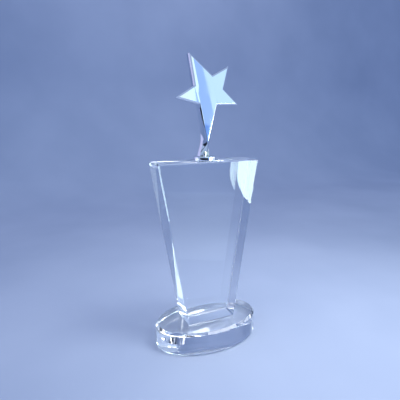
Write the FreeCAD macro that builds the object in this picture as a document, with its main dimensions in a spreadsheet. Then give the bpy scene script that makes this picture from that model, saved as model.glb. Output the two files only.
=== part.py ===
# Star trophy: a chrome-plated cast star on a round mounting disc, standing on a tapered
# optical-glass column that is bonded to an oval glass base.
# Frame: millimetres, +Z up, origin at the middle of the base's underside.
# The trophy faces -Y, and its long side runs along X.
import FreeCAD, Part

import os

import Sketcher

doc = FreeCAD.newDocument("star_trophy")
sheet = doc.addObject("Spreadsheet::Sheet", "Sizes")

# Driving dimensions, in millimetres. Each one is a cell with an alias.
DRIVING = [
    ("base_length", 95.0),
    ("base_width", 60.0),
    ("base_thickness", 20.0),
    ("base_top_bevel", 2.0),
    ("base_foot_bevel", 1.2),
    ("column_top_width", 90.0),
    ("column_foot_width", 44.0),
    ("column_height", 141.0),
    ("column_depth", 26.0),
    ("column_bevel", 1.0),
    ("bond_film", 0.15),
    ("bond_margin", 0.5),
    ("disc_diameter", 18.5),
    ("disc_thickness", 3.5),
    ("disc_edge_round", 0.4),
    ("screw_diameter", 3.0),
    ("screw_length", 8.0),
    ("screw_pitch", 0.5),
    ("head_diameter", 6.0),
    ("head_height", 1.5),
    ("head_sink", 0.2),
    ("socket_flats", 2.0),
    ("socket_depth", 1.1),
    ("screw_clearance", 0.15),
    ("tapped_depth", 5.2),
    ("pip_diameter", 1.4),
    ("pip_length", 1.0),
    ("pip_offset", 3.6),
    ("pip_clearance", 0.05),
    ("star_thickness", 7.0),
    ("star_bevel", 1.0),
]
for row, (alias, amount) in enumerate(DRIVING, start=1):
    sheet.set(f"A{row}", alias)
    sheet.set(f"B{row}", str(amount))
    sheet.setAlias(f"B{row}", alias)
doc.recompute()

# The level that each piece stands at, as expressions on the sheet.
Z_COLUMN = "Sizes.base_thickness + Sizes.bond_film"
Z_DISC_BOND = Z_COLUMN + " + Sizes.column_height"
Z_DISC = Z_DISC_BOND + " + Sizes.bond_film"
Z_STAR = Z_DISC + " + Sizes.disc_thickness"

vector = FreeCAD.Vector


def new_body(label, level=None):
    """A PartDesign body that lifts to its level by an expression on the sheet."""
    body = doc.addObject("PartDesign::Body", label)
    body.Label = label
    if level:
        body.setExpression("Placement.Base.z", level)
    return body


def origin_feature(body, role):
    """The body's own origin plane or axis, such as XY_Plane."""
    return next(f for f in body.Origin.OriginFeatures if f.Role == role)


def new_sketch(body, name, role="XY_Plane", height=None):
    """A sketch on one of the body's origin planes, lifted along that plane's normal."""
    sketch = body.newObject("Sketcher::SketchObject", name)
    sketch.AttachmentSupport = [(origin_feature(body, role), "")]
    sketch.MapMode = "FlatFace"
    if height is not None:
        sketch.setExpression("AttachmentOffset.Base.z", height)
    return sketch


def value(cell):
    """The number that an expression on the sheet gives now."""
    return float(sheet.evalExpression(cell)) if isinstance(cell, str) else cell


def bind(sketch, kind, geometry, corner, cell):
    """Hold one coordinate of a corner, from the sketch's origin, at an expression."""
    if value(cell) == 0:
        axis = -2 if kind == "DistanceX" else -1
        sketch.addConstraint(Sketcher.Constraint("PointOnObject", geometry, corner, axis))
        return
    at = Sketcher.Constraint(kind, -1, 1, geometry, corner, value(cell))
    index = sketch.addConstraint(at)
    if isinstance(cell, str):
        sketch.setExpression(f"Constraints[{index}]", cell)


def polygon(sketch, corners):
    """Straight lines through the corners, closed. Each coordinate is held at its own
    number or expression."""
    count = len(corners)
    spots = [vector(value(x), value(y), 0) for x, y in corners]
    for k in range(count):
        sketch.addGeometry(Part.LineSegment(spots[k], spots[(k + 1) % count]))
    for k in range(count):
        sketch.addConstraint(Sketcher.Constraint("Coincident", k, 2, (k + 1) % count, 1))
    for k, (x, y) in enumerate(corners):
        bind(sketch, "DistanceX", k, 1, x)
        bind(sketch, "DistanceY", k, 1, y)


def circle(sketch, diameter, offset=0):
    """A circle on the sketch's vertical axis, its diameter and offset held by the sheet."""
    centre = vector(0, value(offset), 0)
    index = sketch.addGeometry(Part.Circle(centre, vector(0, 0, 1), value(diameter) / 2))
    across = sketch.addConstraint(Sketcher.Constraint("Diameter", index, value(diameter)))
    sketch.setExpression(f"Constraints[{across}]", diameter)
    bind(sketch, "DistanceX", index, 3, 0)
    bind(sketch, "DistanceY", index, 3, offset)


def pad(body, name, sketch, length, reverse=False):
    """A pad of the sketch, its length bound to the sheet."""
    feature = body.newObject("PartDesign::Pad", name)
    feature.Profile = sketch
    feature.setExpression("Length", length)
    feature.Reversed = reverse
    doc.recompute()
    return feature


def cut(body, name, sketch, length, reverse=False):
    """A pocket of the sketch that has to take material away."""
    before = body.Shape.Volume
    feature = body.newObject("PartDesign::Pocket", name)
    feature.Profile = sketch
    feature.setExpression("Length", length)
    feature.Reversed = reverse
    doc.recompute()
    if body.Shape.Volume > before - 1e-6:
        raise RuntimeError(f"{name} cut nothing")
    return feature


def turn(body, name, sketch, kind="Revolution"):
    """The half section in the sketch, turned right round its vertical axis. A Groove has
    to take material away."""
    before = body.Shape.Volume if kind == "Groove" else None
    feature = body.newObject("PartDesign::" + kind, name)
    feature.Profile = sketch
    feature.ReferenceAxis = (sketch, ["V_Axis"])
    feature.Angle = 360.0
    doc.recompute()
    if before and body.Shape.Volume > before - 1e-6:
        raise RuntimeError(f"{name} cut nothing")
    return feature


def dress(body, name, wanted, width, kind="Chamfer"):
    """A chamfer or fillet on the edges of the body's tip that wanted(edge) picks."""
    tip = body.Tip
    edges = [f"Edge{k}" for k, e in enumerate(tip.Shape.Edges, start=1) if wanted(e)]
    feature = body.newObject("PartDesign::" + kind, name)
    feature.Base = (tip, edges)
    feature.setExpression("Size" if kind == "Chamfer" else "Radius", width)
    doc.recompute()
    return feature


# --- Oval base -----------------------------------------------------------------------
def make_base():
    """A thick oval of optical glass, with a wide polished bevel round its top rim."""
    body = new_body("crystal_base")
    sketch = new_sketch(body, "base_outline")
    long_half = value("Sizes.base_length / 2")
    short_half = value("Sizes.base_width / 2")
    sketch.addGeometry(Part.Ellipse(vector(0, 0, 0), long_half, short_half))
    sketch.exposeInternalGeometry(0)
    sketch.addConstraint(Sketcher.Constraint("Coincident", 0, 3, -1, 1))
    sketch.addConstraint(Sketcher.Constraint("Horizontal", 1))
    for axis, cell in ((1, "Sizes.base_length"), (2, "Sizes.base_width")):
        span = Sketcher.Constraint("Distance", axis, 1, axis, 2, value(cell))
        index = sketch.addConstraint(span)
        sketch.setExpression(f"Constraints[{index}]", cell)
    pad(body, "base_block", sketch, "Sizes.base_thickness")
    top = value("Sizes.base_thickness")
    dress(body, "top_bevel", lambda e: e.BoundBox.ZMin > top - 1e-3, "Sizes.base_top_bevel")
    dress(body, "foot_bevel", lambda e: e.BoundBox.ZMax < 1e-3, "Sizes.base_foot_bevel")
    return body


# --- Tapered column ------------------------------------------------------------------
def make_column():
    """A block of optical glass, wide at the top and narrow at the foot, all edges bevelled."""
    body = new_body("crystal_column", Z_COLUMN)
    sketch = new_sketch(body, "column_outline", "XZ_Plane")
    foot = "Sizes.column_foot_width / 2"
    top = "Sizes.column_top_width / 2"
    tall = "Sizes.column_height"
    polygon(sketch, [("-" + foot, 0), (foot, 0), (top, tall), ("-" + top, tall)])
    block = pad(body, "column_block", sketch, "Sizes.column_depth")
    block.Midplane = True
    doc.recompute()
    dress(body, "polished_bevels", lambda e: True, "Sizes.column_bevel")
    return body


# --- Clear adhesive films ------------------------------------------------------------
def make_column_bond():
    """The cured film of clear adhesive between the column's foot and the base."""
    body = new_body("column_bond", "Sizes.base_thickness")
    sketch = new_sketch(body, "foot_film_outline")
    inset = "(Sizes.column_bevel + Sizes.bond_margin)"
    right = f"(Sizes.column_foot_width / 2 - {inset})"
    back = f"(Sizes.column_depth / 2 - {inset})"
    left = "-" + right
    front = "-" + back
    polygon(sketch, [(left, front), (right, front), (right, back), (left, back)])
    pad(body, "foot_film", sketch, "Sizes.bond_film")
    return body


def make_disc_bond():
    """The cured film of clear adhesive between the mounting disc and the column's top."""
    body = new_body("disc_bond", Z_DISC_BOND)
    sketch = new_sketch(body, "disc_film_outline")
    circle(sketch, "Sizes.disc_diameter - 2 * Sizes.bond_margin")
    pad(body, "disc_film", sketch, "Sizes.bond_film")
    return body


# --- Mounting disc -------------------------------------------------------------------
def make_disc():
    """The turned disc under the star, countersunk from below for the star's screw."""
    body = new_body("mounting_disc", Z_DISC)
    sketch = new_sketch(body, "disc_outline")
    circle(sketch, "Sizes.disc_diameter")
    pad(body, "disc_blank", sketch, "Sizes.disc_thickness")
    rim = lambda e: len(e.Vertexes) == 1
    dress(body, "rim_rounding", rim, "Sizes.disc_edge_round", kind="Fillet")

    seat = new_sketch(body, "countersink_section", "XZ_Plane")
    hole = "Sizes.screw_diameter / 2 + Sizes.screw_clearance"
    head = "Sizes.head_diameter / 2 + Sizes.screw_clearance"
    sink = "Sizes.head_sink"
    neck = "Sizes.head_sink + Sizes.head_height"
    top = "Sizes.disc_thickness"
    polygon(seat, [(0, 0), (head, 0), (head, sink), (hole, neck), (hole, top), (0, top)])
    turn(body, "countersink", seat, kind="Groove")

    pip = new_sketch(body, "pip_hole_outline", height="Sizes.disc_thickness")
    circle(pip, "Sizes.pip_diameter + 2 * Sizes.pip_clearance", "Sizes.pip_offset")
    cut(body, "pip_hole", pip, "Sizes.pip_length + Sizes.pip_clearance")
    return body


# --- Star screw ----------------------------------------------------------------------
def make_screw():
    """A countersunk socket screw. Its thread is a row of rings at the real pitch."""
    body = new_body("star_screw", Z_DISC)
    section = new_sketch(body, "screw_section", "XZ_Plane")
    start = "Sizes.head_sink"
    head = "Sizes.head_diameter / 2"
    radius = "Sizes.screw_diameter / 2"
    neck = "Sizes.head_sink + Sizes.head_height"
    end = "Sizes.head_sink + Sizes.screw_length"
    tip = "Sizes.screw_diameter / 2 - Sizes.screw_pitch"
    lead = end + " - Sizes.screw_pitch"
    corners = [(0, start), (head, start), (radius, neck), (radius, lead), (tip, end), (0, end)]
    polygon(section, corners)
    turn(body, "blank", section)

    ring = new_sketch(body, "thread_section", "XZ_Plane")
    outside = radius + " + 0.2 * Sizes.screw_pitch"
    root = radius + " - 0.61 * Sizes.screw_pitch"
    low = neck + " + 0.45 * Sizes.screw_pitch"
    middle = neck + " + Sizes.screw_pitch"
    high = neck + " + 1.55 * Sizes.screw_pitch"
    polygon(ring, [(outside, low), (outside, high), (root, middle)])
    groove = turn(body, "first_thread", ring, kind="Groove")
    threads = body.newObject("PartDesign::LinearPattern", "threads")
    threads.Originals = [groove]
    threads.Direction = (origin_feature(body, "Z_Axis"), [""])
    room = "(Sizes.screw_length - Sizes.head_height - 3 * Sizes.screw_pitch)"
    threads.setExpression("Length", room)
    threads.setExpression("Occurrences", f"round({room} / Sizes.screw_pitch) + 1")
    body.Tip = threads
    doc.recompute()

    socket = new_sketch(body, "socket_outline", height=start)
    flat = "Sizes.socket_flats / 2"
    point = "Sizes.socket_flats / sqrt(3)"
    shoulder = "Sizes.socket_flats / sqrt(12)"
    polygon(socket, [
        (point, 0), (shoulder, flat), ("-" + shoulder, flat),
        ("-" + point, 0), ("-" + shoulder, "-" + flat), (shoulder, "-" + flat),
    ])
    cut(body, "hex_socket", socket, "Sizes.socket_depth", reverse=True)
    return body


# --- Cast star -----------------------------------------------------------------------
# The height above the disc at which the star's plate ends and the leg goes on alone.
SHOULDER = 38.0

# The star's tips and notches in its own plane, as X and height above the disc. Its top
# point is the longest, and below the two lower notches it narrows into the leg.
STAR_OUTLINE = [
    (-13.5, 80.3),
    (6.3, 64.3),
    (21.7, 72.3),
    (16.6, 54.1),
    (30.8, 42.0),
    (10.3, 41.5),
    (9.5, SHOULDER),
    (-4.9, SHOULDER),
    (-5.8, 42.1),
    (-25.1, 46.8),
    (-9.3, 56.2),
]

# The leg's sections, from the star down to the disc. Each is a height, then the left and
# right X of the front edge, of the waist and of the back edge, and how far the front and
# back edges stand from the middle plane.
LEG_SECTIONS = [
    (40.0, (-5.3, 9.9), (-5.4, 10.0), (-5.4, 10.0), 3.5, 3.5),
    (24.0, (-1.0, 5.9), (-1.7, 6.5), (-2.0, 6.8), 3.5, 4.0),
    (12.0, (0.7, 2.9), (-1.7, 4.6), (-1.7, 4.6), 3.5, 4.3),
    (6.0, (0.6, 1.3), (-3.0, 4.0), (-2.9, 3.9), 3.7, 4.5),
    (0.0, (-0.3, 0.5), (-4.2, 4.2), (-4.3, 4.3), 4.4, 5.0),
]
WAIST_Y = 0.3


def make_star():
    """One zinc casting: a five-pointed star on a tapering leg that flares into a foot."""
    body = new_body("star_casting", Z_STAR)
    outline = new_sketch(body, "star_outline", "XZ_Plane", height="-Sizes.star_thickness / 2")
    polygon(outline, STAR_OUTLINE)
    pad(body, "star_blank", outline, "Sizes.star_thickness")

    # The polished bevel round the front of the star's points, which stops at the leg.
    front_y = value("-Sizes.star_thickness / 2")
    on_front = lambda e: e.BoundBox.YMax < front_y + 1e-3 and e.BoundBox.ZMax > SHOULDER + 1e-3
    dress(body, "front_bevel", on_front, "Sizes.star_bevel")

    sections = []
    for height, front, waist, back, front_reach, back_reach in LEG_SECTIONS:
        section = new_sketch(body, f"leg_section_{len(sections) + 1}", height=f"{height} mm")
        polygon(section, [
            (front[0], -front_reach), (front[1], -front_reach), (waist[1], WAIST_Y),
            (back[1], back_reach), (back[0], back_reach), (waist[0], WAIST_Y),
        ])
        sections.append(section)
    leg = body.newObject("PartDesign::AdditiveLoft", "leg")
    leg.Profile = sections[0]
    leg.Sections = sections[1:]
    doc.recompute()

    tapping = new_sketch(body, "tapped_hole_outline")
    circle(tapping, "Sizes.screw_diameter")
    cut(body, "tapped_hole", tapping, "Sizes.tapped_depth", reverse=True)

    # A small cast pip under the foot drops into the disc and stops the star from turning.
    pip = new_sketch(body, "pip_outline")
    circle(pip, "Sizes.pip_diameter", "Sizes.pip_offset")
    pad(body, "locating_pip", pip, "Sizes.pip_length", reverse=True)
    return body


parts = [
    make_base(),
    make_column_bond(),
    make_column(),
    make_disc_bond(),
    make_disc(),
    make_screw(),
    make_star(),
]
doc.recompute()
for obj in doc.Objects:
    if {"Invalid", "Error"} & set(obj.State):
        raise RuntimeError(f"{obj.Name} failed: {obj.State}")
os.makedirs("parts", exist_ok=True)
for body in parts:
    shape = body.Shape
    if shape.isNull() or not shape.isValid():
        raise RuntimeError(f"{body.Label} has no valid shape")
    shape.exportStep(os.path.join("parts", body.Label + ".step"))
    box = shape.BoundBox
    print(
        f"{body.Label}: {shape.Volume / 1000:.2f} cm3, {len(shape.Solids)} solid, "
        f"z {box.ZMin:.2f} to {box.ZMax:.2f}, x {box.XMin:.2f} to {box.XMax:.2f}, "
        f"y {box.YMin:.2f} to {box.YMax:.2f}"
    )
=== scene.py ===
# %% [markdown]
# # A glass and chrome star trophy
# The trophy is two blocks of clear optical glass with a chrome-plated star on top.
# The measured model is loaded first as a fixed frame. The visible glass and metal are
# then modelled around it in metres, each where its measured piece stands.

# %% Load the measured frame
import math

import bmesh
import bpy
from mathutils import Matrix, Vector


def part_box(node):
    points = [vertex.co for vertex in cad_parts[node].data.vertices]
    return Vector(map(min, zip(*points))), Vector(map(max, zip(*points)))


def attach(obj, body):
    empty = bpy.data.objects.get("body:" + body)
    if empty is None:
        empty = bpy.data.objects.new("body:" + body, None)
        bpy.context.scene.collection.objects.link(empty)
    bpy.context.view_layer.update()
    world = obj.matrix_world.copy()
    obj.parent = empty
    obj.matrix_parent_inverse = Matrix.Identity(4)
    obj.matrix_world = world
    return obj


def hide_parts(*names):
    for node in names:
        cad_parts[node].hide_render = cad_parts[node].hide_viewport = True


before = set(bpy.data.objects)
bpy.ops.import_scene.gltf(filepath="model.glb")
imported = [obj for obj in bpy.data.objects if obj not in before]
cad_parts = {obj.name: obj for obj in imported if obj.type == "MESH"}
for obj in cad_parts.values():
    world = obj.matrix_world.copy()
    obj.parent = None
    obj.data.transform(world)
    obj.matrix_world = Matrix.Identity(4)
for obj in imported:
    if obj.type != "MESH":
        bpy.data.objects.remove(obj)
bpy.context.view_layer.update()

print("measured nodes:", sorted(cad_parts))

# %% [markdown]
# Every size below comes from the measured pieces, so nothing has to be fitted later.
# Only the things that a box can't tell, such as how wide a bevel is ground, get a number
# of their own, and they repeat what the measured pieces have.

# %% Read the sizes that the pieces share
MM = 0.001
base_low, base_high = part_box("crystal_base")
column_low, column_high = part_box("crystal_column")
film_low, film_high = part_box("column_bond")
pad_low, pad_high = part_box("disc_bond")
disc_low, disc_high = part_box("mounting_disc")

TOUCH = 0.001 * MM
BASE_TOP_BEVEL = 2.0 * MM
BASE_FOOT_BEVEL = 1.2 * MM
COLUMN_BEVEL = 1.0 * MM
COLUMN_TOP_HALF = 45.0 * MM
COLUMN_FOOT_HALF = 22.0 * MM
EDGE_POLISH = 0.12 * MM
print("base", [round(side / MM, 1) for side in base_high - base_low], "mm")
print("column", [round(side / MM, 1) for side in column_high - column_low], "mm")

# %% [markdown]
# Most pieces are shaped the same way: start a primitive, select faces or edges by where
# they are, and run one operator on them. These small helpers keep those steps readable.
# The frame arrives with its nodes selected, and an operator acts on all that is
# selected, so each helper deselects everything first.

# %% Helpers for edit mode
def deselect_everything():
    """Leave edit mode and let go of every object."""
    if bpy.context.object and bpy.context.object.mode != "OBJECT":
        bpy.ops.object.mode_set(mode="OBJECT")
    bpy.ops.object.select_all(action="DESELECT")


def take(piece):
    """Make one object the selected and active one."""
    deselect_everything()
    piece.select_set(True)
    bpy.context.view_layer.objects.active = piece


def edit(piece):
    """Open one object in edit mode, with nothing selected in it."""
    take(piece)
    bpy.ops.object.mode_set(mode="EDIT")
    bpy.ops.mesh.select_all(action="DESELECT")


def leave_edit():
    bpy.ops.object.mode_set(mode="OBJECT")


def pick(piece, kind, wanted):
    """Select the faces, edges or vertices of the open mesh that wanted(item) accepts."""
    parts = {"VERT": "verts", "EDGE": "edges", "FACE": "faces"}[kind]
    bpy.ops.mesh.select_mode(type=kind)
    bpy.ops.mesh.select_all(action="DESELECT")
    mesh = bmesh.from_edit_mesh(piece.data)
    mesh.normal_update()
    chosen = [item for item in getattr(mesh, parts) if wanted(item)]
    for item in chosen:
        item.select_set(True)
    mesh.select_flush_mode()
    bmesh.update_edit_mesh(piece.data)
    return len(chosen)


def at_level(z):
    """A test that says whether all of an edge or a face lies at one height."""
    return lambda item: all(abs(v.co.z - z) < TOUCH for v in item.verts)

# %% [markdown]
# Each finished piece gets a name, has its place put into its mesh, is shaded smooth
# except where it has a real edge, and is handed to the frame: it rides on the trophy's
# one body and stands for the measured node that it replaces.

# %% Helpers for naming, finishing and handing over a piece
def name_piece(name):
    """Name the object that was just added, and its mesh."""
    piece = bpy.context.object
    piece.name = name
    piece.data.name = name
    return piece


def settle(piece, smooth_angle=30):
    """Put the object's place into its mesh, and smooth all but its real edges."""
    take(piece)
    bpy.ops.object.transform_apply(location=True, rotation=True, scale=True)
    bpy.ops.object.shade_smooth_by_angle(angle=math.radians(smooth_angle))
    return piece


def hand_over(piece, node):
    """Let the piece ride on the body and stand for its node."""
    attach(piece, "root")
    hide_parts(node)


def report(piece):
    """Print how many triangles the piece has, and whether its surface is closed."""
    mesh = bmesh.new()
    mesh.from_mesh(piece.data)
    open_edges = sum(1 for edge in mesh.edges if not edge.is_manifold)
    triangles = len(mesh.calc_loop_triangles())
    volume = mesh.calc_volume(signed=True)
    mesh.free()
    print(f"{piece.name}: {triangles} triangles, {open_edges} open edges, {volume * 1e6:.2f} cm3")

# %% [markdown]
# ## The oval base
# On the real trophy this is a thick slab of optical glass, sawn to an oval, with its rims
# ground to flat bevels and polished. A cylinder scaled to the oval's two lengths gives an
# even wall. The bevel operator then grinds both rims, and a second, very small bevel
# gives each ground edge the soft polish that catches a thin line of light.

# %% Model the oval base
OVAL_FACETS = 192
base_size = base_high - base_low
bpy.ops.mesh.primitive_cylinder_add(
    vertices=OVAL_FACETS, radius=0.5, depth=1, location=(0, 0, base_low.z + base_size.z / 2)
)
bpy.ops.transform.resize(value=base_size)
base_glass = settle(name_piece("base_glass"))
edit(base_glass)
pick(base_glass, "EDGE", at_level(base_high.z))
bpy.ops.mesh.bevel(offset=BASE_TOP_BEVEL, segments=1)
pick(base_glass, "EDGE", at_level(base_low.z))
bpy.ops.mesh.bevel(offset=BASE_FOOT_BEVEL, segments=1)
RIM_LEVELS = (
    base_low.z, base_low.z + BASE_FOOT_BEVEL, base_high.z - BASE_TOP_BEVEL, base_high.z,
)
pick(base_glass, "EDGE", lambda edge: any(at_level(z)(edge) for z in RIM_LEVELS))
bpy.ops.mesh.bevel(offset=EDGE_POLISH, segments=2)
leave_edit()
report(base_glass)

# %% [markdown]
# The column is bonded to the base with a film of clear adhesive that bends light just as
# the glass does, so on the real trophy the joint can't be seen. To let light pass
# straight through it here, the patch of the base under the column becomes a face of its
# own. The old top face is taken off, a plane of the column's footprint is put in its
# place, and the bridge operator fills the ring between the two.

# %% Cut the bonded patch into the base's top
patch_half_width = COLUMN_FOOT_HALF - COLUMN_BEVEL
patch_half_depth = (column_high.y - column_low.y) / 2 - COLUMN_BEVEL
edit(base_glass)
pick(base_glass, "FACE", at_level(base_high.z))
bpy.ops.mesh.delete(type="ONLY_FACE")
bpy.ops.mesh.primitive_plane_add(size=2, location=(0, 0, base_high.z))
bpy.ops.transform.resize(value=(patch_half_width, patch_half_depth, 1))
ring_edges = pick(base_glass, "EDGE", lambda edge: (
    edge.is_boundary and at_level(base_high.z)(edge)
))
bpy.ops.mesh.bridge_edge_loops()
leave_edit()
print("edges bridged:", ring_edges)
report(base_glass)

# %% [markdown]
# ## The tapered column
# The column is one block sawn wide at the top and narrow at the foot, with every edge
# ground to a narrow bevel. A cube is scaled to the block, its bottom face is narrowed,
# and the same two bevels follow as on the base.

# %% Model the column
column_size = column_high - column_low
column_size.x = 2 * COLUMN_TOP_HALF
bpy.ops.mesh.primitive_cube_add(size=1, location=(0, 0, column_low.z + column_size.z / 2))
bpy.ops.transform.resize(value=column_size)
column_glass = settle(name_piece("column_glass"))
edit(column_glass)
pick(column_glass, "FACE", at_level(column_low.z))
bpy.ops.transform.resize(value=(COLUMN_FOOT_HALF / COLUMN_TOP_HALF, 1, 1))
bpy.ops.mesh.select_all(action="SELECT")
bpy.ops.mesh.bevel(offset=COLUMN_BEVEL, segments=1)
bpy.ops.mesh.select_all(action="SELECT")
bpy.ops.mesh.bevel(offset=EDGE_POLISH, segments=2)
leave_edit()
report(column_glass)

# %% [markdown]
# ## The two films of adhesive
# The clear adhesive is flooded into each joint and cured with ultraviolet light, and what
# squeezes out is wiped off, which leaves a slightly rounded edge. Each film is a thin
# slab: a box under the column and a round one under the disc. A hair's breadth is kept
# free above and below, because two faces in exactly the same place would trap the light
# that should pass through them.

# %% Model the films
HAIR = 0.02 * MM
FILM_CORNER = 1.2 * MM
RIM_SHARE = 0.4


def model_film(name, low, high, round_film):
    """A slab between two corners, with its upright edges and its rim rounded."""
    size = high - low - Vector((0, 0, 2 * HAIR))
    centre = (high + low) / 2
    if round_film:
        bpy.ops.mesh.primitive_cylinder_add(vertices=96, radius=0.5, depth=1, location=centre)
    else:
        bpy.ops.mesh.primitive_cube_add(size=1, location=centre)
    bpy.ops.transform.resize(value=size)
    film = settle(name_piece(name))
    edit(film)
    if not round_film:
        pick(film, "EDGE", lambda edge: abs(edge.verts[0].co.z - edge.verts[1].co.z) > HAIR)
        bpy.ops.mesh.bevel(offset=FILM_CORNER, segments=8)
    rims = (centre.z - size.z / 2, centre.z + size.z / 2)
    pick(film, "EDGE", lambda edge: any(at_level(z)(edge) for z in rims))
    bpy.ops.mesh.bevel(offset=RIM_SHARE * size.z, segments=3)
    leave_edit()
    report(film)
    return film


column_film = model_film("column_film", film_low, film_high, round_film=False)
disc_film = model_film("disc_film", pad_low, pad_high, round_film=True)

# %% [markdown]
# ## The mounting disc
# The disc is turned from bar, so it is modelled the way a lathe works: half of its
# section is drawn as a line from the hole to the rim and back, and the spin operator
# turns it once about the middle. The hole in the middle takes the screw, and its lower
# end is countersunk for the screw's head.

# %% Turn the mounting disc
DISC_EDGE = 0.4 * MM
SCREW_HOLE = 1.65 * MM
HEAD_HOLE = 3.2 * MM
HEAD_SINK = 0.2 * MM
CORNER_STEPS = 6
LATHE_STEPS = 128
disc_radius = (disc_high.x - disc_low.x) / 2
cone_top = disc_low.z + HEAD_SINK + HEAD_HOLE - SCREW_HOLE


def rim_corner(z, outward_step):
    """Points of a quarter round at the rim, between a flat face and the wall."""
    centre_z = z - outward_step * DISC_EDGE
    points = []
    for step in range(CORNER_STEPS + 1):
        angle = math.radians(90 * step / CORNER_STEPS)
        radius = disc_radius - DISC_EDGE * (1 - math.sin(angle))
        points.append((radius, centre_z + outward_step * DISC_EDGE * math.cos(angle)))
    return points


section = [(SCREW_HOLE, cone_top), (SCREW_HOLE, disc_high.z)]
section += rim_corner(disc_high.z, 1)
section += rim_corner(disc_low.z, -1)[::-1]
section += [(HEAD_HOLE, disc_low.z), (HEAD_HOLE, disc_low.z + HEAD_SINK)]
bpy.ops.mesh.primitive_circle_add(vertices=len(section), radius=disc_radius)
polished_disc = name_piece("polished_disc")
edit(polished_disc)
for number, (radius, z) in enumerate(section):
    pick(polished_disc, "VERT", lambda v: v.index == number)
    here = next(v.co for v in bmesh.from_edit_mesh(polished_disc.data).verts if v.select)
    bpy.ops.transform.translate(value=Vector((radius, 0, z)) - here)
bpy.ops.mesh.select_all(action="SELECT")
bpy.ops.mesh.spin(steps=LATHE_STEPS, angle=math.radians(360), center=(0, 0, 0), axis=(0, 0, 1))
bpy.ops.mesh.select_all(action="SELECT")
bpy.ops.mesh.remove_doubles(threshold=TOUCH)
bpy.ops.mesh.normals_make_consistent(inside=False)
leave_edit()
settle(polished_disc)
report(polished_disc)

# %% [markdown]
# ## The star
# On the real trophy the star, its leg and its foot are one zinc casting, ground and
# polished before it is plated. It could be cut from a plate with a boolean, but a mirror
# finish shows every stray edge, so it is drawn as a plate whose outline has one corner
# for each tip and each notch. A circle with eleven corners is the start, and each corner
# is moved to its place.

# %% Draw the outline of the star's plate
FRONT_FACE = 3.5
BEVEL_RISE = 0.75
BEVEL_WIDTH = 1.0
RIM_FRONT = FRONT_FACE - BEVEL_RISE
BACK_FACE = 3.5
WAIST_Y = 0.3
SHOULDER = 38.0
OUTLINE = [
    (-13.5, 80.3), (-9.3, 56.2), (-25.1, 46.8), (-5.8, 42.1), (-4.93, SHOULDER),
    (9.41, SHOULDER), (10.3, 41.5), (30.8, 42.0), (16.6, 54.1), (21.7, 72.3), (6.3, 64.3),
]
STAR_FOOT = disc_high.z


def at_star(x, y, height):
    """A point given in millimetres across, deep, and up from the disc."""
    return Vector((x * MM, y * MM, STAR_FOOT + height * MM))


bpy.ops.mesh.primitive_circle_add(vertices=len(OUTLINE), radius=30 * MM, fill_type="NGON")
polished_star = name_piece("polished_star")
edit(polished_star)
for number, (x, height) in enumerate(OUTLINE):
    pick(polished_star, "VERT", lambda v: v.index == number)
    here = next(v.co for v in bmesh.from_edit_mesh(polished_star.data).verts if v.select)
    bpy.ops.transform.translate(value=at_star(x, -RIM_FRONT, height) - here)
bpy.ops.mesh.select_all(action="SELECT")
for depth in (RIM_FRONT + WAIST_Y, BACK_FACE - WAIST_Y):
    bpy.ops.mesh.extrude_region_move(TRANSFORM_OT_translate={"value": (0, depth * MM, 0)})
bpy.ops.mesh.select_all(action="SELECT")
bpy.ops.mesh.normals_make_consistent(inside=False)
leave_edit()
report(polished_star)

# %% [markdown]
# The leg grows out of the plate's lowest edge. It is pulled down a little at a time, and
# after each pull its six corners are put where the leg's section has them. A few sections
# say how the leg goes from a flat bar to a three-sided foot whose front is a single sharp
# ridge, and a smooth curve through them gives every ring between. The first and the last
# lie beyond the leg's ends and only steer the curve.

# %% Say how the leg's section changes
LEG = [
    # height, front left and right, waist left and right, back left and right, depths
    (42.0, -5.79, 10.43, -5.9, 10.6, -5.9, 10.6, RIM_FRONT, 3.5),
    (38.0, -4.93, 9.41, -5.0, 9.5, -5.0, 9.5, RIM_FRONT, 3.5),
    (24.0, -2.13, 5.86, -2.3, 6.2, -2.4, 6.4, RIM_FRONT, 3.9),
    (12.0, 0.27, 2.81, -1.4, 4.3, -1.6, 4.6, RIM_FRONT, 4.3),
    (6.6, 1.1, 1.1, -2.7, 3.8, -2.8, 4.2, RIM_FRONT, 4.5),
    (2.5, 0.45, 0.45, -3.7, 4.0, -3.9, 4.3, 3.7, 4.8),
    (0.0, 0.0, 0.0, -4.2, 4.2, -4.4, 4.5, 4.3, 5.0),
    (-1.0, -0.2, -0.2, -4.4, 4.3, -4.6, 4.6, 4.5, 5.1),
]
RIDGE_TOP = 6.7


def smooth_between(before, start, end, after, t):
    """A curve from start to end that leaves and arrives in line with its neighbours."""
    slope_start, slope_end = (end - before) / 2, (after - start) / 2
    return (
        start * (2 * t**3 - 3 * t**2 + 1) + slope_start * (t**3 - 2 * t**2 + t)
        + end * (3 * t**2 - 2 * t**3) + slope_end * (t**3 - t**2)
    )


def leg_section(height):
    """The six corners of the leg at a height, as points across and deep."""
    k = next(k for k in range(1, len(LEG) - 2) if LEG[k + 1][0] <= height + 1e-6)
    t = (LEG[k][0] - height) / (LEG[k][0] - LEG[k + 1][0])
    spans = [LEG[k - 1][0] - LEG[k][0], LEG[k][0] - LEG[k + 1][0], LEG[k + 1][0] - LEG[k + 2][0]]
    values = []
    for before, start, end, after in zip(*(row[1:] for row in LEG[k - 1:k + 3])):
        before = start - (start - before) * spans[1] / spans[0]
        after = end + (after - end) * spans[1] / spans[2]
        values.append(smooth_between(before, start, end, after, t))
    front_left, front_right, waist_left, waist_right, back_left, back_right, reach, depth = values
    if height < RIDGE_TOP:
        front_left = front_right = (front_left + front_right) / 2
    else:
        reach = RIM_FRONT
    return [
        (front_left, -reach), (front_right, -reach), (waist_left, WAIST_Y),
        (waist_right, WAIST_Y), (back_left, depth), (back_right, depth),
    ]


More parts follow.
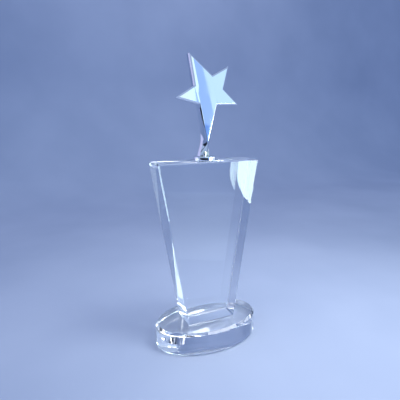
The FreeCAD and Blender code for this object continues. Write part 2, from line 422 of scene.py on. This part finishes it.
print("leg half way up:", [(round(x, 1), round(y, 1)) for x, y in leg_section(SHOULDER / 2)])

# %% [markdown]
# Each ring starts as a copy of the one above. Its corners are sorted from front to back
# and from left to right, so that each goes to its own place in the new section.

# %% Pull the leg down to the disc
RINGS = 28
WELD = 0.02 * MM
edit(polished_star)
shoulder_z = STAR_FOOT + SHOULDER * MM
pick(polished_star, "FACE", at_level(shoulder_z))
for ring in range(1, RINGS + 1):
    height = SHOULDER * (1 - ring / RINGS)
    drop = -SHOULDER * MM / RINGS
    bpy.ops.mesh.extrude_region_move(TRANSFORM_OT_translate={"value": (0, 0, drop)})
    corners = [v for v in bmesh.from_edit_mesh(polished_star.data).verts if v.select]
    corners.sort(key=lambda v: (round(v.co.y / MM, 1), v.co.x))
    for corner, (x, y) in zip(corners, leg_section(height)):
        corner.co = at_star(x, y, height)
    bmesh.update_edit_mesh(polished_star.data)
bpy.ops.mesh.select_all(action="SELECT")
bpy.ops.mesh.remove_doubles(threshold=WELD)
leave_edit()
report(polished_star)

# %% [markdown]
# The casting's front edge is ground to a bevel. The flat front is first made one face.
# The inset operator draws the bevel's inner line, and the inner face is then moved
# forward. Near the bottom of the leg the front is narrower than two bevels, so the inner
# line would cross itself there: its lowest corners are merged into one point, and the
# two bevels meet in a ridge below it, as two ground faces do.

# %% Grind the bevel round the front
FACES_FRONT = 0.98
NEAR = 0.1
BEVEL_TIP = 10.6


def on_front(y):
    """A test for faces that lie flat in the plane at a depth."""
    return lambda face: (
        face.normal.y < -FACES_FRONT
        and all(abs(v.co.y - y * MM) < 2 * TOUCH for v in face.verts)
    )


edit(polished_star)
pick(polished_star, "FACE", on_front(-RIM_FRONT))
bpy.ops.mesh.dissolve_faces()
print("front faces:", pick(polished_star, "FACE", on_front(-RIM_FRONT)))
bpy.ops.mesh.inset(thickness=BEVEL_WIDTH * MM, depth=0, use_even_offset=True)
bpy.ops.transform.translate(value=(0, -BEVEL_RISE * MM, 0))


def crossed(vertex):
    """Whether a corner of the inner line belongs to the narrow end of the leg."""
    if vertex.co.y > -(FRONT_FACE - NEAR) * MM:
        return False
    outer = [edge.other_vert(vertex) for edge in vertex.link_edges]
    return any(
        v.co.y > -(RIM_FRONT + NEAR) * MM and v.co.z < STAR_FOOT + BEVEL_TIP * MM for v in outer
    )


print("corners merged:", pick(polished_star, "VERT", crossed))
bpy.ops.mesh.merge(type="CENTER")
tip = next(v.co for v in bmesh.from_edit_mesh(polished_star.data).verts if v.select)
tip_x = sum(x for x, _ in leg_section(BEVEL_TIP)[:2]) / 2
bpy.ops.transform.translate(value=at_star(tip_x, -FRONT_FACE, BEVEL_TIP) - tip)
leave_edit()
report(polished_star)

# %% [markdown]
# The screw comes up into the foot, so the foot has a tapped hole. The bottom face is
# taken off, a circle is put in its place, the ring between them is bridged, and the
# circle is pulled up to the hole's depth and closed.

# %% Drill the foot
TAPPED_RADIUS = 1.5 * MM
TAPPED_DEPTH = 5.2 * MM
edit(polished_star)
pick(polished_star, "FACE", at_level(STAR_FOOT))
bpy.ops.mesh.delete(type="ONLY_FACE")
bpy.ops.mesh.primitive_circle_add(vertices=32, radius=TAPPED_RADIUS, location=(0, 0, STAR_FOOT))
pick(polished_star, "EDGE", lambda edge: not edge.is_manifold and at_level(STAR_FOOT)(edge))
bpy.ops.mesh.bridge_edge_loops()
pick(polished_star, "EDGE", lambda edge: at_level(STAR_FOOT)(edge) and all(
    abs(v.co.xy.length - TAPPED_RADIUS) < TOUCH for v in edge.verts
))
bpy.ops.mesh.extrude_region_move(TRANSFORM_OT_translate={"value": (0, 0, TAPPED_DEPTH)})
bpy.ops.mesh.edge_face_add()
bpy.ops.mesh.select_all(action="SELECT")
bpy.ops.mesh.normals_make_consistent(inside=False)
leave_edit()
report(polished_star)

# %% [markdown]
# Polishing rounds every edge a little, and plating rounds it more. A narrow bevel on the
# plate's sharp edges gives them the thin line of light that a real plated edge shows.

# %% Soften the plate's edges
PLATED_EDGE = 0.12
SHARP = math.radians(25)
CLEAR_OF_TIP = 1.5


def sharp_edge_of_plate(edge):
    """Whether an edge is sharp and lies above the narrow part of the leg."""
    above = all(v.co.z > STAR_FOOT + (BEVEL_TIP + CLEAR_OF_TIP) * MM for v in edge.verts)
    return above and edge.calc_face_angle(0) > SHARP


edit(polished_star)
print("sharp edges:", pick(polished_star, "EDGE", sharp_edge_of_plate))
bpy.ops.mesh.bevel(offset=PLATED_EDGE * MM, segments=2)
leave_edit()
report(polished_star)

# %% [markdown]
# The front isn't quite flat: it is slightly rounded from side to side, about a line that
# leans with the star, and so it shows light and dark bands where a flat mirror would show
# one tone. The bisect operator cuts the front into strips along that line, and each point
# then moves back by the square of its distance from the line. Points further back move
# less, so that the back stays flat.

# %% Round the front
CROWN_TILT = math.radians(14)
CROWN_RADIUS = 200 * MM
STRIP = 1.5 * MM
STRIPS_LEFT = 20
STRIPS_RIGHT = 24
crown_line = at_star(2.0, 0, 40.0)
across = Vector((math.cos(CROWN_TILT), 0, math.sin(CROWN_TILT)))
edit(polished_star)
for strip in range(-STRIPS_LEFT, STRIPS_RIGHT + 1):
    pick(polished_star, "FACE", on_front(-FRONT_FACE))
    bpy.ops.mesh.bisect(plane_co=crown_line + across * strip * STRIP, plane_no=across)
front_mesh = bmesh.from_edit_mesh(polished_star.data)
for v in front_mesh.verts:
    share = (WAIST_Y * MM - v.co.y) / ((WAIST_Y + RIM_FRONT) * MM)
    share = min(max(share, 0), 1)
    if v.co.z > STAR_FOOT + RIDGE_TOP * MM:
        v.co.y += share * (v.co - crown_line).dot(across) ** 2 / (2 * CROWN_RADIUS)
bmesh.update_edit_mesh(polished_star.data)
leave_edit()
settle(polished_star, 20)
report(polished_star)

# %% [markdown]
# Every piece now rides on the trophy's one body, because nothing on it moves, and stands
# for its measured node. The screw keeps its measured shape, thread and socket included.

# %% Hand the pieces to the frame
hand_over(base_glass, "crystal_base")
hand_over(column_glass, "crystal_column")
hand_over(column_film, "column_bond")
hand_over(disc_film, "disc_bond")
hand_over(polished_disc, "mounting_disc")
hand_over(polished_star, "star_casting")

# %% [markdown]
# ## Finishes
# Each finish is one Principled shader. What is the same all over a piece, such as how
# much the glass bends light, is set on the shader's own socket. What varies, such as a
# faint smear or a polishing mark, comes from a noise that reads the piece's own
# coordinates. These helpers add the noise and join it to roughness and to the surface's
# small bumps.

# %% Helpers for the finishes
def new_finish(name, **settings):
    """A material with its Principled shader set."""
    finish = bpy.data.materials.new(name)
    finish.use_nodes = True
    shader = finish.node_tree.nodes["Principled BSDF"]
    for socket, amount in settings.items():
        shader.inputs[socket.replace("_", " ")].default_value = amount
    return finish


def add_node(finish, kind, **settings):
    node = finish.node_tree.nodes.new(kind)
    for setting, amount in settings.items():
        setattr(node, setting, amount)
    return node


def join(finish, start, end):
    finish.node_tree.links.new(start, end)


def add_noise(finish, scale, detail=3.0, stretch=(1, 1, 1), turn=(0, 0, 0)):
    """A noise pattern on the piece's own coordinates, stretched along its axes."""
    place = add_node(finish, "ShaderNodeTexCoord")
    mapping = add_node(finish, "ShaderNodeMapping")
    mapping.inputs["Scale"].default_value = stretch
    mapping.inputs["Rotation"].default_value = turn
    noise = add_node(finish, "ShaderNodeTexNoise")
    noise.inputs["Scale"].default_value = scale
    noise.inputs["Detail"].default_value = detail
    join(finish, place.outputs["Object"], mapping.inputs["Vector"])
    join(finish, mapping.outputs["Vector"], noise.inputs["Vector"])
    return noise.outputs["Fac"]


def vary(finish, pattern, socket, low, high, start=0.35, end=0.7):
    """Let a pattern drive one of the shader's numbers between two amounts."""
    limits = add_node(finish, "ShaderNodeMapRange")
    limits.inputs["From Min"].default_value = start
    limits.inputs["From Max"].default_value = end
    limits.inputs["To Min"].default_value = low
    limits.inputs["To Max"].default_value = high
    join(finish, pattern, limits.inputs["Value"])
    shader = finish.node_tree.nodes["Principled BSDF"]
    join(finish, limits.outputs["Result"], shader.inputs[socket])


def tint(finish, pattern, first, second, start=0.35, end=0.7):
    """Let a pattern drive the colour between two tones."""
    ramp = add_node(finish, "ShaderNodeValToRGB")
    ramp.color_ramp.elements[0].position = start
    ramp.color_ramp.elements[0].color = first
    ramp.color_ramp.elements[1].position = end
    ramp.color_ramp.elements[1].color = second
    join(finish, pattern, ramp.inputs["Fac"])
    shader = finish.node_tree.nodes["Principled BSDF"]
    join(finish, ramp.outputs["Color"], shader.inputs["Base Color"])


def add_bump(finish, pattern, height, strength=1.0, earlier=None):
    """Small bumps from a pattern, added on top of an earlier bump."""
    bump = add_node(finish, "ShaderNodeBump")
    bump.inputs["Distance"].default_value = height
    bump.inputs["Strength"].default_value = strength
    join(finish, pattern, bump.inputs["Height"])
    if earlier:
        join(finish, earlier, bump.inputs["Normal"])
    shader = finish.node_tree.nodes["Principled BSDF"]
    join(finish, bump.outputs["Normal"], shader.inputs["Normal"])
    return bump.outputs["Normal"]

# %% [markdown]
# ### Optical glass
# The glass is lead-free optical glass, almost without colour. Polished glass is never
# quite perfect: the felt leaves broad, very shallow waves, and handling leaves a smear
# here and there that scatters a little light. The smears are kept faint, because the
# blocks are wiped before they are shown.

# %% Make the glass
def make_optical_glass():
    glass = new_finish("optical_glass", IOR=1.52, Transmission_Weight=1.0)
    smears = add_noise(glass, scale=38, detail=5, stretch=(1, 1, 0.5))
    vary(glass, smears, "Roughness", 0.0, 0.02, start=0.52, end=0.8)
    melt = add_noise(glass, scale=9, detail=1)
    tint(glass, melt, (0.975, 0.99, 0.995, 1), (0.99, 0.995, 1.0, 1))
    felt_waves = add_noise(glass, scale=26, detail=0)
    add_bump(glass, felt_waves, height=0.05 * MM, strength=0.06)
    return glass


optical_glass = make_optical_glass()

# %% [markdown]
# ### Cured adhesive
# The adhesive is chosen to bend light like the glass, so a ray goes straight on through
# the joint. A shader whose index is 1 and which reflects nothing does that. It is used
# for the films, and for the faces of the base and the column that the film wets. A faint
# cloudiness is all that shows of a cured film.

# %% Make the adhesive
def make_cured_adhesive():
    adhesive = new_finish(
        "cured_adhesive", IOR=1.0, Transmission_Weight=1.0, Specular_IOR_Level=0.0,
        Roughness=0.0,
    )
    cloud = add_noise(adhesive, scale=120, detail=4)
    tint(adhesive, cloud, (0.97, 0.985, 1.0, 1), (1, 1, 1, 1))
    return adhesive


cured_adhesive = make_cured_adhesive()

# %% [markdown]
# ### Chrome on the star
# The casting is buffed, nickelled and chromed. Chrome is a slightly blue mirror. The
# buffing wheel leaves very fine lines along the star, and the plating leaves a soft
# unevenness under them, both far too shallow to feel. Fingers dull it in places.

# %% Make the star's chrome
def make_star_chrome():
    chrome = new_finish("star_chrome_plate", Metallic=1.0)
    fingers = add_noise(chrome, scale=55, detail=4)
    vary(chrome, fingers, "Roughness", 0.03, 0.11)
    depth = add_noise(chrome, scale=24, detail=2)
    tint(chrome, depth, (0.84, 0.88, 0.93, 1), (0.9, 0.93, 0.97, 1))
    buffing = add_noise(chrome, scale=420, detail=3, stretch=(1, 1, 0.06), turn=(0, 0.4, 0))
    plating = add_noise(chrome, scale=48, detail=1)
    soft = add_bump(chrome, plating, height=0.06 * MM, strength=0.25)
    add_bump(chrome, buffing, height=0.004 * MM, strength=0.5, earlier=soft)
    return chrome


star_chrome = make_star_chrome()

# %% [markdown]
# ### Chrome on the turned disc
# The lathe leaves fine rings on the disc before it is plated, and the plating doesn't
# quite fill them. A wave pattern that spreads from the disc's axis draws the rings.

# %% Make the disc's chrome
def make_disc_chrome():
    chrome = new_finish("disc_chrome_plate", Metallic=1.0)
    place = add_node(chrome, "ShaderNodeTexCoord")
    rings = add_node(chrome, "ShaderNodeTexWave", wave_type="RINGS", rings_direction="Z")
    rings.inputs["Scale"].default_value = 900
    rings.inputs["Distortion"].default_value = 0.6
    join(chrome, place.outputs["Object"], rings.inputs["Vector"])
    wear = add_noise(chrome, scale=130, detail=4)
    vary(chrome, wear, "Roughness", 0.04, 0.14)
    depth = add_noise(chrome, scale=60, detail=2)
    tint(chrome, depth, (0.8, 0.84, 0.89, 1), (0.88, 0.91, 0.95, 1))
    add_bump(chrome, rings.outputs["Fac"], height=0.003 * MM, strength=0.6)
    return chrome


disc_chrome = make_disc_chrome()

# %% [markdown]
# ### Steel of the screw
# The screw is zinc-plated steel, a little yellowish and dull beside the chrome.

# %% Make the screw's steel
def make_screw_steel():
    steel = new_finish("zinc_plated_steel", Metallic=1.0)
    grain = add_noise(steel, scale=600, detail=5)
    vary(steel, grain, "Roughness", 0.25, 0.45)
    patches = add_noise(steel, scale=200, detail=2)
    tint(steel, patches, (0.5, 0.51, 0.5, 1), (0.66, 0.66, 0.63, 1))
    add_bump(steel, grain, height=0.01 * MM, strength=0.4)
    return steel


screw_steel = make_screw_steel()

# %% [markdown]
# The two blocks take the glass all over, and the adhesive on the one face of each that
# the film wets. The screw is a measured node, so only its material slot is filled.

# %% Give each piece its finish
FACES_UP = 0.99
FEW_CORNERS = 20
MOST_OF_PATCH = 0.95


def wetted_faces(piece, level, area):
    """Give the adhesive's finish to the flat faces at a level that are this large."""
    found = 0
    for face in piece.data.polygons:
        flat = abs(face.center.z - level) < TOUCH and abs(face.normal.z) > FACES_UP
        if flat and face.area > area and len(face.vertices) < FEW_CORNERS:
            face.material_index = 1
            found += 1
    return found


patch_area = 4 * patch_half_width * patch_half_depth
for block, level in ((base_glass, base_high.z), (column_glass, column_low.z)):
    block.data.materials.append(optical_glass)
    block.data.materials.append(cured_adhesive)
    print(block.name, "wetted faces:", wetted_faces(block, level, MOST_OF_PATCH * patch_area))
for film in (column_film, disc_film):
    film.data.materials.append(cured_adhesive)
polished_disc.data.materials.append(disc_chrome)
polished_star.data.materials.append(star_chrome)
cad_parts["star_screw"].material_slots[0].material = screw_steel

# %% [markdown]
# ## The studio
# The trophy stands on a pale sheet that sweeps up behind it, so there is no line between
# floor and wall. The sheet starts as a plane. Its far edge is pulled back and up in small
# steps round a quarter circle, and then straight up.

# %% Build the sweep
SWEEP_SIZE = (6, 4, 1)
SWEEP_MIDDLE = (0.2, -1.45)
SWEEP_RADIUS = 0.35
SWEEP_STEPS = 16
WALL_HEIGHT = 1.6
FLOOR_GAP = 0.3 * MM


def build_sweep():
    bpy.ops.mesh.primitive_plane_add(size=1, location=(0, 0, 0))
    sheet = name_piece("studio_sweep")
    edit(sheet)
    bpy.ops.mesh.select_all(action="SELECT")
    bpy.ops.transform.resize(value=SWEEP_SIZE)
    bpy.ops.transform.translate(value=(*SWEEP_MIDDLE, -FLOOR_GAP))
    far_edge = max(v.co.y for v in bmesh.from_edit_mesh(sheet.data).verts)
    pick(sheet, "EDGE", lambda edge: all(v.co.y > far_edge - TOUCH for v in edge.verts))
    for step in range(SWEEP_STEPS):
        here = math.pi / 2 * step / SWEEP_STEPS
        there = math.pi / 2 * (step + 1) / SWEEP_STEPS
        back = SWEEP_RADIUS * (math.sin(there) - math.sin(here))
        up = SWEEP_RADIUS * (math.cos(here) - math.cos(there))
        bpy.ops.mesh.extrude_region_move(TRANSFORM_OT_translate={"value": (0, back, up)})
    bpy.ops.mesh.extrude_region_move(TRANSFORM_OT_translate={"value": (0, 0, WALL_HEIGHT)})
    leave_edit()
    return settle(sheet, smooth_angle=60)


studio_sweep = build_sweep()
pale_sheet = new_finish("pale_sheet", Roughness=0.9)
unevenness = add_noise(pale_sheet, scale=5, detail=3)
tint(pale_sheet, unevenness, (0.40, 0.46, 0.62, 1), (0.46, 0.52, 0.68, 1))
studio_sweep.data.materials.append(pale_sheet)

# %% [markdown]
# Chrome and glass have no look of their own: they show what stands round them. So each
# light is placed for the reflection it makes, by its direction and distance from the
# trophy. A direction of 0 is straight in front, and turns to the right. No lamp is
# seen by the camera itself.

# %% Helpers for lamps and flags
TROPHY_MIDDLE = Vector((0, 0, 0.15))


def in_direction(azimuth, elevation, distance, centre=TROPHY_MIDDLE):
    """The point at a direction and a distance from a centre, in degrees and metres."""
    turn = math.radians(azimuth)
    rise = math.radians(elevation)
    level = Vector((math.sin(turn), -math.cos(turn), 0)) * math.cos(rise)
    return centre + (level + Vector((0, 0, math.sin(rise)))) * distance


def hide_from(kind, *things):
    """Let rays of one kind, such as glossy or diffuse, pass by as if nothing was there."""
    for thing in things:
        setattr(thing, "visible_" + kind, False)


def add_lamp(name, place, aim, size, glow, colour=(1, 1, 1), shape="RECTANGLE", through=True):
    """A soft lamp whose face has the given brightness."""
    data = bpy.data.lights.new(name, "AREA")
    data.shape = shape
    data.size, data.size_y = size
    data.energy = glow * math.pi * size[0] * size[1]
    data.color = colour
    lamp = bpy.data.objects.new(name, data)
    lamp.location = place
    lamp.rotation_euler = (aim - place).to_track_quat("-Z", "Y").to_euler()
    hide_from("camera", lamp)
    if not through:
        hide_from("transmission", lamp)
    bpy.context.scene.collection.objects.link(lamp)
    return lamp


def add_flag(name, place, aim, size):
    """A black card that only reflections show."""
    bpy.ops.mesh.primitive_plane_add(size=1, location=place)
    flag = name_piece(name)
    flag.rotation_euler = (aim - place).to_track_quat("Z", "Y").to_euler()
    flag.scale = (size[0], size[1], 1)
    settle(flag)
    flag.data.materials.append(black_card)
    for kind in ("camera", "diffuse", "transmission", "shadow"):
        hide_from(kind, flag)
    return flag


black_card = new_finish("black_card", Base_Color=(0.02, 0.025, 0.04, 1), Roughness=1.0)

# %% [markdown]
# The air of the room gives everything a soft blue-grey light. A wide lamp overhead lights
# floor and wall, a smaller one makes the floor paler in front, and a third lights the top
# of the wall, which the base shows upside down. Mirrors don't show them, because the
# trophy's upper edges are to stay dark.

# %% Light the room
world = bpy.data.worlds.new("studio_air")
world.use_nodes = True
bpy.context.scene.world = world
air = world.node_tree.nodes["Background"]
air.inputs["Color"].default_value = (0.31, 0.40, 0.60, 1)
air.inputs["Strength"].default_value = 1.2

top_light = add_lamp(
    "top_light", Vector((0.1, -0.1, 1.5)), Vector((0.15, 0.1, 0)), (1.2, 1.2), glow=0.35,
    colour=(1, 0.97, 0.92),
)
top_light.data.spread = math.radians(75)
table_light = add_lamp(
    "table_light", Vector((0.3, -0.3, 0.7)), Vector((0.1, -0.05, 0)), (0.3, 0.3), glow=1.3,
    colour=(0.95, 1, 1),
)
table_light.data.spread = math.radians(50)
wall_light = add_lamp(
    "wall_light", Vector((0.25, 0.3, 1.3)), Vector((0.3, 0.9, 0.75)), (0.8, 0.3), glow=0.5,
    colour=(0.95, 0.95, 1),
)
wall_light.data.spread = math.radians(60)
hide_from("glossy", top_light, table_light, wall_light)

# %% [markdown]
# A strong oval lamp stands low at the right. The column's front and back faces each
# mirror it as a white patch near the top. A larger, softer one higher up lights the
# base's rim and wall, and a small card near the table makes the column's left side shine
# along its edge, because the light turns inside the glass. Mirrors don't show the card.
# None of the three lights the floor, which would burn out beside them, and the softbox
# is linked to the two blocks, as a screen between it and the star would do.

# %% Light the glass
COLUMN_TOP_RIGHT = Vector((37, -13, 145)) * MM
COLUMN_LEFT_SIDE = Vector((-30, 0, 85)) * MM
oval_lamp = add_lamp(
    "oval_lamp", in_direction(42, -7, 0.42, COLUMN_TOP_RIGHT), COLUMN_TOP_RIGHT,
    (0.205, 0.18), glow=14, colour=(0.8, 1, 0.96), shape="ELLIPSE",
)
upper_softbox = add_lamp(
    "upper_softbox", in_direction(45, 42, 0.8), TROPHY_MIDDLE, (0.7, 0.3), glow=8,
)
table_card = add_lamp(
    "table_card", in_direction(31, -12, 0.21, COLUMN_LEFT_SIDE), COLUMN_LEFT_SIDE, (0.1, 0.11),
    glow=0.7, colour=(0.85, 1, 1),
)
hide_from("glossy", table_card)
hide_from("diffuse", oval_lamp, upper_softbox, table_card)
clear_blocks = bpy.data.collections.new("clear_blocks")
for block in (base_glass, column_glass):
    clear_blocks.objects.link(block)
upper_softbox.light_linking.receiver_collection = clear_blocks

# %% [markdown]
# The star's rounded front sweeps across what stands before it, so three panels of
# different colour give it its bands: a pale one for the left tip, a blue one for the
# middle and the leg, and a yellowish one over the right half of the blue. Two black flags
# low in front give the disc the dark middle that a chromed disc has in any real room, two
# strips make its ends bright, and a pale panel behind to the left lights the star's rim.

# %% Light the star
STAR_MIDDLE = Vector((0, -3, 210)) * MM
DISC_MIDDLE = Vector((0, 0, 163)) * MM
add_lamp(
    "blue_panel", in_direction(40, 2, 0.8, STAR_MIDDLE), STAR_MIDDLE, (0.78, 0.36), glow=1,
    colour=(0.0, 0.11, 0.42), through=False,
)
right_panel = add_lamp(
    "right_panel", in_direction(48, 19, 0.9, STAR_MIDDLE), STAR_MIDDLE, (0.7, 0.7), glow=1,
    colour=(0.28, 0.34, 0.10), through=False,
)
right_panel.rotation_euler.rotate_axis("Z", math.radians(45))
add_lamp(
    "left_panel", in_direction(1, 5, 0.7, STAR_MIDDLE), STAR_MIDDLE, (0.43, 0.24), glow=1,
    colour=(0.48, 0.60, 0.50), through=False,
)
for number, turn in enumerate((-50, -10), start=1):
    add_flag(f"flag_{number}", in_direction(turn, -5, 0.45, DISC_MIDDLE), DISC_MIDDLE, (0.36, 0.08))
left_strip = add_lamp(
    "left_strip", in_direction(-112, 8, 0.3, DISC_MIDDLE), DISC_MIDDLE, (0.3, 0.06), glow=1.2,
    through=False,
)
right_strip = add_lamp(
    "right_strip", in_direction(75, 4, 0.3, DISC_MIDDLE), DISC_MIDDLE, (0.3, 0.08), glow=1.2,
    through=False,
)
side_panel = add_lamp(
    "side_panel", in_direction(-128, 5, 0.8, STAR_MIDDLE), STAR_MIDDLE, (0.8, 0.4), glow=1,
    colour=(0.42, 0.38, 0.5), through=False,
)
hide_from("diffuse", left_strip, right_strip, side_panel)

# %% [markdown]
# The camera stands a little to the left of the trophy and above it, as close as a hand
# can reach. Glass needs long light paths, because a ray may bounce inside a block many
# times before it leaves, so the scene allows more bounces than usual.

# %% Place the camera
EYE = Vector((-125.6, -275.4, 190.8)) * MM
AIM = Vector((-3.94, 1.73, 127.23)) * MM
ROLL = math.radians(-0.71)
LENS_TO_SENSOR = 0.9
BOUNCES = {
    "max_bounces": 24, "glossy_bounces": 16, "transmission_bounces": 24, "diffuse_bounces": 4,
}
lens = bpy.data.cameras.new("view")
lens.sensor_width = 36
lens.lens = LENS_TO_SENSOR * lens.sensor_width
lens.clip_start = 0.01
viewer = bpy.data.objects.new("view", lens)
turn = (AIM - EYE).to_track_quat("-Z", "Y").to_matrix().to_4x4()
viewer.matrix_world = Matrix.Translation(EYE) @ turn @ Matrix.Rotation(ROLL, 4, "Z")
bpy.context.scene.collection.objects.link(viewer)
bpy.context.scene.camera = viewer
bpy.context.scene.view_settings.view_transform = "Standard"
for limit, bounces in BOUNCES.items():
    setattr(bpy.context.scene.cycles, limit, bounces)
print("camera stands", round((EYE - AIM).length, 3), "m away")
